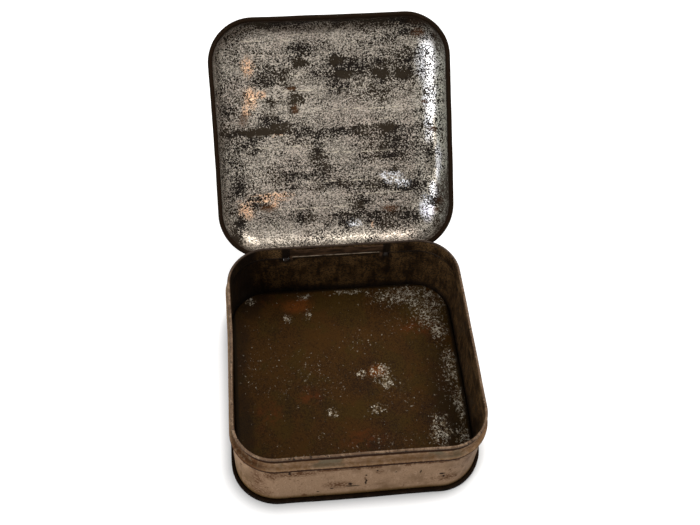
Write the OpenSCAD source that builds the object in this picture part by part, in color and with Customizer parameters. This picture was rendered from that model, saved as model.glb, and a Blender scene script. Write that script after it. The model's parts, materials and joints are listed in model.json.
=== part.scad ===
// A square hinged candy tin: a pressed tinplate box with a rolled rim, a bead that the closed
// lid sits on, a seamed-in bottom and a deep rounded lid that swings on a wire behind the box.
// The origin is on the table under the middle of the box, +Z is up and the hinge is on the +Y side.
// The lid is drawn closed and then swung open about the hinge wire.

/* [Body] */
// Outside width across the rolled rim, from side to side and from front to back
side = 108; // [96:0.5:130]
// Height of the rim above the table
rim_h = 40.7; // [38:0.1:56]
// Outside radius of the rim at the four upright corners
corner_r = 18.8; // [14:0.1:24]
// Thickness of the tinplate
sheet = 0.35; // [0.3:0.01:0.4]
// Width of the hem that is rolled outwards along the top edge
hem_w = 1.2; // [1:0.05:1.3]
// How far the outside of the lower wall stands out from the rim
wall_out = 0.3; // [0.1:0.05:0.6]

/* [Bead] */
// Depth of the bead's middle below the top of the rim
bead_drop = 8.55; // [7.7:0.05:9.1]
// Radius of the bead's nose, to the outside of the sheet
bead_r = 1.05; // [0.9:0.05:1.1]
// How far the bead stands out from the lower wall
bead_out = 0.85; // [0.6:0.05:0.9]

/* [Bottom] */
// How far the foot seam stands out from the rim
foot_out = 2; // [1.8:0.05:2.4]
// Height of the foot seam
foot_h = 3; // [2.6:0.1:3.6]
// Height of the floor's upper face above the table
floor_z = 4.3; // [3.8:0.1:5]
// Outside radius of the floor's edge, where it turns down into the seam
floor_r = 1.2; // [0.8:0.05:1.6]
// Clearance between the layers of the seam inside the wall
seam_gap = 0.05; // [0.03:0.01:0.08]

/* [Lid] */
// How far the closed lid rises above the rim
lid_rise = 9.8; // [8.6:0.1:16]
// Clearance between the rim and the lid's skirt
lid_gap = 0.95; // [0.75:0.05:1.1]
// Outside width of the curl along the lid's edge
edge_w = 2.1; // [1.6:0.05:2.4]
// Clearance between the closed lid's edge and the top of the bead
edge_gap = 0.35; // [0.3:0.05:0.6]
// Width of the lid's rounded shoulder, seen from above
shoulder_w = 13; // [8:0.5:16]
// Height of the lid's rounded shoulder
shoulder_h = 9; // [7:0.5:10]

/* [Hinge] */
// Place of the hinge's middle along the back wall
hinge_x = -2; // [-6:0.5:6]
// Distance between the middles of the two slots in the back wall
hinge_w = 48; // [36:0.5:52]
// Width of each slot
slot_w = 2.4; // [2.2:0.1:3]
// Length of each slot
slot_l = 9.6; // [9.5:0.1:10.6]
// Depth of the slots' upper ends below the top of the rim
slot_drop = 1.9; // [1.9:0.1:2.1]
// Diameter of the hinge wire
wire_d = 1.5; // [1.3:0.05:1.6]
// Depth of the hinge wire below the top of the rim
wire_drop = 10.7; // [10.5:0.05:10.9]
// How far the wire stands out past each hook
wire_end = 1; // [0.6:0.1:2]
// Clearance between the wire and the lid's curl round it
wire_fit = 0.05; // [0.02:0.01:0.1]
// Clearance between the wire and the strap's hooks, which are closed tight on it
hook_fit = 0.02; // [0.01:0.01:0.04]
// Thickness of the strap
strap_t = 0.45; // [0.4:0.01:0.5]
// Height of the strap between its two legs
strap_h = 5; // [4:0.1:5.5]
// Depth of the strap's upper edge below the top of the rim
strap_drop = 1.5; // [1.4:0.1:2.1]
// Width of the strap's legs, hooks and arms
arm_w = 2; // [1.6:0.1:2]
// Clearance between the strap and the wall that it lies on
strap_gap = 0.05; // [0.03:0.01:0.1]
// Clearance between the lid's tongue and the hooks at its ends
tongue_gap = 0.3; // [0.3:0.05:0.6]
// Extra width of the notch in the lid's edge at each end of the tongue
notch_relief = 0.8; // [0.5:0.1:1.5]
// Angle that the lid is open in this pose
open_angle = 134; // [90:1:140]

/* [Hidden] */

// Facets on a full circle of the wire, and steps in each rounded corner of a profile
$fn = 64;
corner_steps = 6;
shoulder_steps = 14;
// A rounded corner's radius as a share of the short leg beside it
round_share = 0.47;
// How far the lid's curl and the strap's hooks turn round the wire, in degrees
curl_turn = 300;
hook_turn = 262;

// Half widths to the middle of each sheet, from the tin's centre
rim_half = side / 2;
corner_centre = rim_half - corner_r;
neck_mid = rim_half - hem_w + sheet / 2;
wall_mid = rim_half + wall_out - sheet / 2;
bead_mid = wall_mid + sheet / 2 + bead_out - bead_r;
nose_r = bead_r - sheet / 2;
foot_mid = rim_half + foot_out - sheet / 2;
seam_step = (foot_mid - wall_mid) / 3;
inner_seam_mid = wall_mid - sheet - seam_gap;
skirt_mid = rim_half + lid_gap + sheet / 2;
edge_mid = skirt_mid + edge_w - sheet;

// Heights above the table, to the middle of each sheet
rim_mid_z = rim_h - sheet / 2;
hem_drop = hem_w - sheet;
bead_top_z = rim_h - bead_drop + nose_r;
bead_low_z = rim_h - bead_drop - nose_r;
edge_mid_z = bead_top_z + sheet / 2 + edge_gap + sheet / 2;
panel_mid_z = rim_h + lid_rise - sheet / 2;
floor_mid_z = floor_z - sheet / 2;
seam_low_z = sheet / 2;
seam_top_z = foot_h - sheet / 2;

// The hinge: the wire's axis follows from the curl that continues the skirt's sheet
wire_z = rim_h - wire_drop;
wire_r = wire_d / 2;
curl_in = wire_r + wire_fit;
hook_in = wire_r + hook_fit;
wire_y = skirt_mid - sheet / 2 + curl_in + sheet;
tongue_w = hinge_w - arm_w - 2 * tongue_gap;
notch_w = tongue_w + 2 * notch_relief;
strap_y = neck_mid - sheet / 2 - strap_gap - strap_t;
strap_low = rim_h - strap_drop - strap_h;
leg_in_x = hinge_w / 2 - slot_w / 2 - arm_w;
wire_l = hinge_w + arm_w + 2 * wire_end;

// Unit vector from a to b
function toward(a, b) = (b - a) / norm(b - a);

// Vector v turned by an angle
function turned(v, angle) =
    [v[0] * cos(angle) - v[1] * sin(angle), v[0] * sin(angle) + v[1] * cos(angle)];

// Corner p of a path, rounded to radius r between its neighbours a and b
function rounded_corner(a, p, b, r) =
    let (u = toward(p, a), v = toward(p, b),
         half = acos(u * v) / 2,
         centre = p + toward([0, 0], u + v) * r / sin(half),
         start = p + u * r / tan(half) - centre,
         turn = sign(cross(p - a, b - p)) * (180 - 2 * half))
    [for (i = [0 : corner_steps]) centre + turned(start, turn * i / corner_steps)];

// Path through the given corners, each but the ends rounded to its radius
function rounded_path(corners, radii) =
    let (last = len(corners) - 1)
    [for (i = [0 : last]) each (i == 0 || i == last) ? [corners[i]]
        : rounded_corner(corners[i - 1], corners[i], corners[i + 1], radii[i - 1])];

// Step from point i of a path to the side of the sheet, half a thickness away
function side_step(path, i, t) =
    let (last = len(path) - 1,
         before = toward(path[max(i - 1, 0)], path[max(i, 1)]),
         after = toward(path[min(i, last - 1)], path[min(i + 1, last)]),
         middle = toward([0, 0], before + after))
    [-middle[1], middle[0]] * t / 2 / (middle * before);

// Outline of a sheet of thickness t whose middle follows the path
function sheet_outline(path, t) =
    let (last = len(path) - 1)
    [for (i = [0 : last]) path[i] + side_step(path, i, t),
     for (i = [last : -1 : 0]) path[i] - side_step(path, i, t)];

// A profile, drawn by half width and height, swept round the tin's four sides and corners
module sweep_round() {
    for (turn = [0 : 90 : 270]) rotate(turn) {
        rotate([90, 0, 0]) linear_extrude(2 * corner_centre, center = true) children();
        translate([corner_centre, corner_centre, 0]) rotate_extrude(angle = 90)
            translate([-corner_centre, 0]) children();
    }
}

// A shape drawn by depth and height, extruded along the back wall about x
module along_back(x, w) {
    translate([x - w / 2, 0, 0]) rotate([90, 0, 90]) linear_extrude(w) children();
}

// A square slab with the tin's rounded corners, its sides at the given half width
module rounded_slab(half, low, t) {
    r = half - corner_centre;
    translate([0, 0, low]) linear_extrude(t) {
        square([2 * half, 2 * corner_centre], center = true);
        square([2 * corner_centre, 2 * half], center = true);
        for (x = [-corner_centre, corner_centre], y = [-corner_centre, corner_centre])
            translate([x, y]) circle(r);
    }
}

// Part of a tube round the wire's axis, from a start angle, in the plane of depth and height
module round_wire(x, w, inner_r, t, start, turn) {
    translate([x - w / 2, wire_y, wire_z]) rotate([90, 0, 90]) rotate(start)
        rotate_extrude(angle = turn) translate([inner_r, 0]) square([t, w]);
}

// Middle of the body's sheet from the hem's end down to the hook in the foot seam
function wall_path(shoulder) = concat(
    [[neck_mid + hem_drop * round_share, rim_mid_z - hem_drop],
     [neck_mid + hem_drop, rim_mid_z - hem_drop],
     [neck_mid + hem_drop, rim_mid_z],
     [neck_mid, rim_mid_z]],
    shoulder,
    [[wall_mid, seam_low_z + sheet + seam_gap],
     [wall_mid + 2 * seam_step, seam_low_z + sheet + seam_gap],
     [wall_mid + 2 * seam_step, seam_top_z - 2 * sheet]]);

hem_radii = [hem_drop, hem_drop, hem_drop] * round_share;
hook_radii = [seam_step, seam_step] * 2 * round_share;

// The bead: out over the shoulder, round the nose and back to the lower wall
bead_shoulder = [[neck_mid, bead_top_z], [bead_mid + nose_r, bead_top_z],
                 [bead_mid + nose_r, bead_low_z], [wall_mid, bead_low_z]];
bead_radii = [sheet, nose_r * 2 * round_share, bead_out * round_share, bead_out * round_share];
// Where the hinge lies, the wall steps out without a bead
plain_shoulder = [[neck_mid, bead_top_z], [wall_mid, bead_low_z]];
plain_radii = [nose_r, nose_r];

module wall_profile(shoulder, shoulder_radii) {
    path = rounded_path(wall_path(shoulder), concat(hem_radii, shoulder_radii, hook_radii));
    polygon(sheet_outline(path, sheet));
}

// The wall's back between the slots, over the height of the bead, where the hinge lies
module hinge_zone() {
    low = bead_low_z - bead_r;
    translate([hinge_x - hinge_w / 2, corner_centre, low])
        cube([hinge_w, corner_centre, bead_top_z + bead_r - low]);
}

// The box's wall: rolled rim, neck, bead, lower wall and the hook that the bottom is seamed to
module body_wall() {
    color("rosybrown") difference() {
        union() {
            difference() {
                sweep_round() wall_profile(bead_shoulder, bead_radii);
                hinge_zone();
            }
            intersection() {
                hinge_zone();
                along_back(hinge_x, hinge_w) wall_profile(plain_shoulder, plain_radii);
            }
        }
        for (end = [-1, 1]) translate([hinge_x + end * hinge_w / 2 - slot_w / 2,
                                       strap_y, rim_h - slot_drop - slot_l])
            cube([slot_w, foot_mid - strap_y, slot_l]);
    }
}

// The bottom: a floor whose edge turns down inside the wall and is rolled round the wall's hook
module bottom_plate() {
    edge_in = inner_seam_mid - 2 * floor_r;
    corners = [[edge_in, floor_mid_z], [inner_seam_mid, floor_mid_z],
               [inner_seam_mid, seam_low_z], [foot_mid, seam_low_z], [foot_mid, seam_top_z],
               [foot_mid - 2 * seam_step, seam_top_z],
               [foot_mid - 2 * seam_step, seam_low_z + 3 * sheet]];
    radii = [floor_r - sheet / 2, sheet, sheet, sheet, sheet];
    color("saddlebrown") {
        sweep_round() polygon(sheet_outline(rounded_path(corners, radii), sheet));
        rounded_slab(edge_in, floor_mid_z - sheet / 2, sheet);
    }
}

// The strap inside the back wall: two arms pass out through the slots and hook the wire
module hinge_strap() {
    arm_z = wire_z + hook_in;
    color("dimgray") {
        translate([hinge_x - leg_in_x - arm_w, strap_y, strap_low])
            cube([2 * (leg_in_x + arm_w), strap_t, strap_h]);
        for (end = [-1, 1]) {
            leg_x = hinge_x + end * (leg_in_x + arm_w / 2);
            hook_x = hinge_x + end * hinge_w / 2;
            inner_x = min(leg_x, hook_x) - arm_w / 2;
            translate([leg_x - arm_w / 2, strap_y, arm_z])
                cube([arm_w, strap_t, strap_low - arm_z]);
            translate([inner_x, strap_y, arm_z])
                cube([abs(hook_x - leg_x) + arm_w, strap_t, strap_t]);
            translate([hook_x - arm_w / 2, strap_y + strap_t, arm_z])
                cube([arm_w, wire_y - strap_y - strap_t, strap_t]);
            round_wire(hook_x, arm_w, hook_in, strap_t, 90 - hook_turn, hook_turn);
        }
    }
}

// The hinge wire
module hinge_wire() {
    color("gray") translate([hinge_x - wire_l / 2, wire_y, wire_z]) rotate([0, 90, 0])
        cylinder(h = wire_l, r = wire_r);
}

// The closed lid: curled edge, straight skirt and rounded shoulder, with a flat panel inside it
module closed_lid_shell() {
    curl_r = (edge_mid - skirt_mid) * round_share;
    rise_z = panel_mid_z - shoulder_h;
    shoulder = [for (i = [0 : shoulder_steps]) let (a = 90 * i / shoulder_steps)
        [skirt_mid - shoulder_w * (1 - cos(a)), rise_z + shoulder_h * sin(a)]];
    edge = rounded_path(
        [[skirt_mid + curl_r, edge_mid_z + 2 * curl_r], [edge_mid, edge_mid_z + 2 * curl_r],
         [edge_mid, edge_mid_z], [skirt_mid, edge_mid_z], shoulder[0]],
        [curl_r, curl_r, curl_r] * 2 * round_share);
    path = concat(edge, [for (i = [1 : shoulder_steps]) shoulder[i]]);
    sweep_round() polygon(sheet_outline(path, sheet));
    rounded_slab(skirt_mid - shoulder_w, panel_mid_z - sheet / 2, sheet);
}

// The tongue: the back skirt goes on down between the hooks and is curled round the wire
module lid_tongue() {
    top = edge_mid_z + edge_w + sheet;
    translate([hinge_x - tongue_w / 2, skirt_mid - sheet / 2, wire_z])
        cube([tongue_w, sheet, top - wire_z]);
    round_wire(hinge_x, tongue_w, curl_in, sheet, 180, curl_turn);
}

// The space that the notch for the tongue takes out of the lid's edge
module tongue_notch() {
    low = edge_mid_z - edge_w;
    translate([hinge_x - notch_w / 2, skirt_mid - edge_w, low])
        cube([notch_w, 3 * edge_w, edge_mid_z + edge_w + sheet - low]);
}

module lid() {
    color("silver") translate([0, wire_y, wire_z]) rotate([-open_angle, 0, 0])
        translate([0, -wire_y, -wire_z]) {
            difference() {
                closed_lid_shell();
                tongue_notch();
            }
            lid_tongue();
        }
}

body_wall();
bottom_plate();
hinge_strap();
hinge_wire();
lid();
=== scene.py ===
import json
import math

import bpy
from mathutils import Matrix, Vector, noise


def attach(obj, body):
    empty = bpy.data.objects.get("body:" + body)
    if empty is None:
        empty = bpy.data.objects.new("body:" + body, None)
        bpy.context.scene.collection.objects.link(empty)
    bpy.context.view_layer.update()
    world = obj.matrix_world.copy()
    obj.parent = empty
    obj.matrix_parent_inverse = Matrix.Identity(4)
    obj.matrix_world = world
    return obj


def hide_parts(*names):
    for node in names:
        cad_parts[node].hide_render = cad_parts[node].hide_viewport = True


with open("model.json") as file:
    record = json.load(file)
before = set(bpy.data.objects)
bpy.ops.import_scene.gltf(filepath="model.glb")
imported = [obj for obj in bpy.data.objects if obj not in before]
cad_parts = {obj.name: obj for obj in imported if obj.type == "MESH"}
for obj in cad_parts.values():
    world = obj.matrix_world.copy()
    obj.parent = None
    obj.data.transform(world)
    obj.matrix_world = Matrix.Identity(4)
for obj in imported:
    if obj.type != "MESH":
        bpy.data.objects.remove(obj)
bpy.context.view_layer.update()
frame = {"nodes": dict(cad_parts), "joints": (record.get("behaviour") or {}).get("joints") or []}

mm = 0.001

# the pressed box: half widths are from the tin's centre, heights are from the table
box = {
    "rimHalf": 54.0,         # outside of the rolled rim
    "rimHeight": 40.7,
    "cornerRadius": 18.8,    # outside of the rim at the upright corners
    "sheet": 0.35,
    "hemWidth": 1.2,
    "wallOut": 0.3,          # lower wall past the rim
    "beadDrop": 8.55,        # middle of the bead below the rim
    "beadRadius": 1.05,
    "beadOut": 0.85,         # bead past the lower wall
    "beadRoom": 2.5,         # plain sheet kept above and below the bead
    "beadFade": 1.5,         # the bead dies away over this length beside the hinge
}

# the bottom and the seam that it stands on
bottom = {
    "footOut": 2.0,          # seam past the rim
    "footHeight": 3.0,
    "floorHeight": 4.3,
    "floorRadius": 1.2,
    "seamGap": 0.05,
}

# the closed lid
cover = {
    "gap": 0.95,             # rim to skirt
    "edgeWidth": 2.1,
    "edgeGap": 0.35,         # edge to bead when closed
    "rise": 9.8,             # top above the rim
    "shoulderWidth": 13.0,
    "shoulderHeight": 9.0,
}

# the hinge: wire, slots and the tongue of the lid's back skirt
hinge = {
    "middle": -2.0,
    "width": 48.0,           # from slot to slot
    "slotWidth": 2.1,        # the slots fit closely round the strap's arms
    "slotLength": 3.8,
    "slotDrop": 7.7,
    "wireDrop": 10.7,
    "wireRadius": 0.75,
    "wireFit": 0.05,
    "armWidth": 2.0,
    "tongueGap": 0.3,
    "notchRelief": 0.8,
    "curlTurn": 300.0,
}

# how finely the sheets are meshed, in millimetres and degrees
fine = {"along": 1.5, "across": 1.5, "arc": 12.0, "cornerStep": 5.0, "tongue": 1.0,
        "crease": 50.0, "beadPoints": 44, "shoulderSteps": 24, "curlSteps": 36}

# dents and waves that the years have put in the sheet: size of the wave and its depth
dents = [(38.0, 0.30), (14.0, 0.10), (5.0, 0.03)]
waveLift = {"most": 0.6, "whole": 6.0}   # share of the waves that goes up and down, and the
                                         # height in millimetres from which all of it does
waveStart = (7.3, 2.1, 4.7)
noise.seed_set(7)            # the same waves on every run

# single knocks, in millimetres with the lid closed: middle, reach each way, push
knocks = {
    "all": [((0, -56, 42), (32, 10, 8), (0, 0.65, 0))],
    "box": [((46, -45, 36), (9, 9, 7), (0.40, -0.40, 0)),
            ((-55, 8, 42), (8, 18, 9), (0.6, 0, 0))],
    "lid": [((0, -58, 45), (110, 16, 60), (0, 0.7, 0))],
}

# where one finish of a sheet gives way to the next
finishEnds = {
    "hemUnder": 0.1,         # the rim's finish reaches this far below the hem
    "ringOut": 0.25,         # the lid's ring starts this far outside the skirt
    "ringRise": 1.2,         # or ends this far above the lid's lower edge
    "floorIn": 0.3,          # the floor ends this far inside the seam
    "floorLow": 3.0,         # the lowest height that still counts as floor
    "underOut": 0.1,         # the underside ends this far outside the wall of the seam
}

# how far the cutting boxes reach past the sheet
cutRoom = {"slotIn": 3, "slotOut": 1, "notch": 2}

rimHalf = box["rimHalf"]
sheet = box["sheet"]
cornerCentre = rimHalf - box["cornerRadius"]
neckMid = rimHalf - box["hemWidth"] + sheet / 2
wallMid = rimHalf + box["wallOut"] - sheet / 2
beadMid = wallMid + sheet / 2 + box["beadOut"] - box["beadRadius"]
noseRadius = box["beadRadius"] - sheet / 2
beadTop = box["rimHeight"] - box["beadDrop"] + noseRadius
beadLow = box["rimHeight"] - box["beadDrop"] - noseRadius
footMid = rimHalf + bottom["footOut"] - sheet / 2
seamStep = (footMid - wallMid) / 3
seamLow = sheet / 2
seamTop = bottom["footHeight"] - sheet / 2
skirtMid = rimHalf + cover["gap"] + sheet / 2
edgeMid = skirtMid + cover["edgeWidth"] - sheet
edgeLow = beadTop + sheet + cover["edgeGap"]
tongueTop = edgeLow + cover["edgeWidth"] + sheet
panelMid = box["rimHeight"] + cover["rise"] - sheet / 2
wireHeight = box["rimHeight"] - hinge["wireDrop"]
curlMid = hinge["wireRadius"] + hinge["wireFit"] + sheet / 2
wireDepth = skirtMid + curlMid
tongueHalf = (hinge["width"] - hinge["armWidth"]) / 2 - hinge["tongueGap"]
roundShare = 0.47        # a rounded corner's radius as a share of the short leg beside it

hingeJoint = frame["joints"][0]
openAngle = math.radians(hingeJoint["range_deg"][1])


def turned(v, angle):
    return Vector((v.x * math.cos(angle) - v.y * math.sin(angle),
                   v.x * math.sin(angle) + v.y * math.cos(angle)))


def roundedPath(corners, radii):
    corners = [Vector(c) for c in corners]
    path = [corners[0]]
    for before, corner, after, radius in zip(corners, corners[1:], corners[2:], radii):
        toBefore = (before - corner).normalized()
        toAfter = (after - corner).normalized()
        half = toBefore.angle(toAfter) / 2
        centre = corner + (toBefore + toAfter).normalized() * (radius / math.sin(half))
        start = corner + toBefore * (radius / math.tan(half)) - centre
        way = 1 if (corner - before).cross(after - corner) > 0 else -1
        turn = way * (math.pi - 2 * half)
        steps = max(3, math.ceil(abs(math.degrees(turn)) / fine["arc"]))
        path += [centre + turned(start, turn * i / steps) for i in range(steps + 1)]
    return path + [corners[-1]]


def densified(path, longest):
    result = [path[0]]
    for a, b in zip(path, path[1:]):
        steps = max(1, math.ceil((b - a).length / longest))
        result += [a.lerp(b, i / steps) for i in range(1, steps + 1)]
    return result


def resampled(path, count):
    lengths = [0.0]
    for a, b in zip(path, path[1:]):
        lengths.append(lengths[-1] + (b - a).length)
    result, k = [], 0
    for i in range(count):
        at = lengths[-1] * i / (count - 1)
        while k < len(path) - 2 and lengths[k + 1] < at:
            k += 1
        span = lengths[k + 1] - lengths[k]
        result.append(path[k].lerp(path[k + 1], min(1.0, (at - lengths[k]) / span)))
    return result


def sheetSides(path, thickness):
    left, right = [], []
    for i, p in enumerate(path):
        before = (path[max(i, 1)] - path[max(i - 1, 0)]).normalized()
        after = (path[min(i + 1, len(path) - 1)] - path[min(i, len(path) - 2)]).normalized()
        middle = (before + after).normalized()
        step = Vector((-middle.y, middle.x)) * (thickness / 2 / middle.dot(before))
        left.append(p + step)
        right.append(p - step)
    return left, right


def stationsAround():
    # places round the tin: a base point and the direction in which half widths grow from it
    stations = []
    runSteps = math.ceil(2 * cornerCentre / fine["along"])
    turnSteps = math.ceil(90 / fine["cornerStep"])
    for quarter in range(4):
        spin = quarter * math.pi / 2
        for i in range(runSteps):
            base = Vector((cornerCentre, -cornerCentre + 2 * cornerCentre * i / runSteps))
            stations.append((turned(base, spin), turned(Vector((1, 0)), spin)))
        corner = turned(Vector((cornerCentre, cornerCentre)), spin)
        for i in range(turnSteps):
            stations.append((corner, turned(Vector((1, 0)), spin + math.pi / 2 * i / turnSteps)))
    return stations


def swept(station, halfWidth, height, innerHalf):
    base, way = station
    if halfWidth >= innerHalf:
        at = base + way * (halfWidth - cornerCentre)
    else:
        at = (base + way * (innerHalf - cornerCentre)) * (halfWidth / innerHalf)
    return Vector((at.x, at.y, height))


def worn(p, body):
    # the same gentle waves run through every piece, so the pieces still nest
    shift = Vector((0, 0, 0))
    for size, depth in dents:
        shift += noise.noise_vector(p / size + Vector(waveStart)) * depth
    # the foot stays flat on the table
    shift.z *= waveLift["most"] * min(1.0, max(0.0, p.z / waveLift["whole"]))
    for middle, reach, push in knocks["all"] + knocks[body]:
        away = sum(((a - b) / r) ** 2 for a, b, r in zip(p, middle, reach))
        shift += Vector(push) * math.exp(-away)
    return p + shift


hingePivot = Vector(hingeJoint["pos_m"])
swing = Matrix.Translation(hingePivot) @ Matrix.Rotation(-openAngle, 4, "X") \
    @ Matrix.Translation(-hingePivot)
swingBack = swing.inverted()


def markPlaces(piece, opened=False):
    # every point remembers where it lies with the lid closed: the stains, and the painted light
    # and shade, are placed by it
    store = piece.data.attributes.new("flatPlace", "FLOAT_VECTOR", "POINT")
    for point, mark in zip(piece.data.vertices, store.data):
        mark.vector = swingBack @ point.co if opened else point.co


def added(name, data):
    item = bpy.data.objects.new(name, data)
    bpy.context.scene.collection.objects.link(item)
    return item


def makePiece(name, verts, faces, zones, materials, body, node, opened=False):
    # verts are in millimetres with the lid closed; the lid's pieces are then swung open
    placed = [worn(Vector(v), body) * mm for v in verts]
    if opened:
        placed = [swing @ v for v in placed]
    mesh = bpy.data.meshes.new(name)
    mesh.from_pydata([tuple(v) for v in placed], [], faces)
    for material in materials:
        mesh.materials.append(material)
    for polygon, zone in zip(mesh.polygons, zones):
        polygon.material_index = zone
        polygon.use_smooth = True
    mesh.validate()
    mesh.update()
    mesh.set_sharp_from_angle(angle=math.radians(fine["crease"]))
    piece = added(name, mesh)
    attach(piece, body)
    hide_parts(node)
    return piece


def ringFaces(count, length, closedLoop):
    faces = []
    for i in range(count):
        n = (i + 1) % count
        for j in range(length if closedLoop else length - 1):
            k = (j + 1) % length
            faces.append((i * length + j, n * length + j, n * length + k, i * length + k))
    return faces


# materials: the nodes go into the tree that is being worked on

tree = None


def workOn(nodeTree):
    global tree
    tree = nodeTree


def newNode(kind):
    return tree.nodes.new("ShaderNode" + kind)


def newMaterial(name):
    material = bpy.data.materials.new(name)
    material.use_nodes = True
    workOn(material.node_tree)
    return material


def put(socket, value):
    if isinstance(value, bpy.types.NodeSocket):
        tree.links.new(value, socket)
    elif isinstance(value, (tuple, list)) and len(value) == 3 and socket.type == "RGBA":
        socket.default_value = (*value, 1)
    else:
        socket.default_value = value


def feed(node, *pairs):
    # each pair is a socket of the node and its value or link
    for socket, value in pairs:
        put(node.inputs[socket], value)


def place():
    # the point of the sheet, with the lid closed
    node = newNode("Attribute")
    node.attribute_name = "flatPlace"
    return node.outputs["Vector"]


def madePlace():
    # the point itself, for the solids that have no mark of their own
    return newNode("TexCoord").outputs["Object"]


def worked(kind, operation, a, b):
    node = newNode(kind)
    node.operation = operation
    feed(node, (0, a), (1, b))
    return node


def vectorMath(operation, a, b=(0, 0, 0)):
    return worked("VectorMath", operation, a, b).outputs["Vector"]


def reachOf(vector):
    return worked("VectorMath", "LENGTH", vector, (0, 0, 0)).outputs["Value"]


def stretched(vector, shares):
    return vectorMath("MULTIPLY", vector, shares)


def maths(operation, a, b=0.0):
    return worked("Math", operation, a, b).outputs[0]


def times(a, b):
    return maths("MULTIPLY", a, b)


def plus(a, b):
    return maths("ADD", a, b)


def minus(a, b):
    return maths("SUBTRACT", a, b)


def most(a, b):
    return maths("MAXIMUM", a, b)


def summed(*parts):
    # each part is a value and its weight
    total = None
    for value, weight in parts:
        part = times(value, weight)
        total = part if total is None else plus(total, part)
    return total


def unsigned(a):
    return maths("ABSOLUTE", a)


def outFromCorners(point):
    # how far a point lies outside the square of the corners' middles, seen from above
    flat = stretched(vectorMath("ABSOLUTE", point), (1, 1, 0))
    flat = vectorMath("SUBTRACT", flat, (cornerCentre * mm, cornerCentre * mm, 0))
    return reachOf(vectorMath("MAXIMUM", flat))


def noiseNode(vector, size, detail, rough, shift, bend):
    node = newNode("TexNoise")
    node.noise_dimensions = "4D"
    feed(node, ("Vector", vector), ("W", shift), ("Scale", 1 / (size * mm)),
         ("Detail", detail), ("Roughness", rough), ("Distortion", bend))
    return node


def noiseAt(vector, size, detail=2.0, rough=0.5, shift=0.0, bend=0.0):
    # size is the width of one grain, in millimetres
    return noiseNode(vector, size, detail, rough, shift, bend).outputs["Fac"]


def between(value, low, high, outLow=0.0, outHigh=1.0):
    # a soft step from outLow to outHigh; low may be the larger of the two
    node = newNode("MapRange")
    node.interpolation_type = "SMOOTHSTEP"
    feed(node, ("Value", value), ("From Min", low), ("From Max", high), ("To Min", outLow),
         ("To Max", outHigh))
    return node.outputs["Result"]


def ramp(value, start, end, outStart=0.0, outEnd=1.0):
    # the same along a length, from start to end in millimetres
    return between(value, start * mm, end * mm, outStart, outEnd)


def mixed(factor, a, b):
    node = newNode("Mix")
    node.data_type = "RGBA"
    feed(node, ("Factor", factor), (6, a), (7, b))
    return node.outputs[2]


def axisOf(vector, letter):
    node = newNode("SeparateXYZ")
    feed(node, (0, vector))
    return node.outputs[letter]


def patches(vector, spots, soft=0.35):
    # spots are (x, y, half width, half depth) in millimetres on the sheet seen from above
    total = None
    for x, y, halfX, halfY in spots:
        away = vectorMath("SUBTRACT", vector, (x * mm, y * mm, 0))
        away = stretched(away, (1 / (halfX * mm), 1 / (halfY * mm), 0))
        near = between(reachOf(away), 1 + soft, 1 - soft)
        total = near if total is None else most(total, near)
    return total


def wobbled(vector, size, depth, shift=0.0):
    # shifts a point about by some millimetres, so that patches get ragged outlines
    node = noiseNode(vector, size, 4, 0.6, shift, 0.0)
    centred = vectorMath("SUBTRACT", node.outputs["Color"], (0.5, 0.5, 0.5))
    return vectorMath("ADD", vector, stretched(centred, (depth * mm * 2,) * 3))


def raggedPatches(vector, size, depth, shift, spots, soft=0.35):
    # patches with ragged outlines
    return patches(wobbled(vector, size, depth, shift), spots, soft)


def finished(material, colour, metal, gloss, rough, height, strength, depth):
    # depth is how deep the bump goes, in millimetres
    bump = newNode("Bump")
    feed(bump, ("Strength", strength), ("Distance", depth * mm), ("Height", height))
    feed(tree.nodes["Principled BSDF"], ("Base Color", colour), ("Metallic", metal),
         ("Specular IOR Level", gloss), ("Roughness", rough), ("Normal", bump.outputs[0]))
    return material


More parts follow.
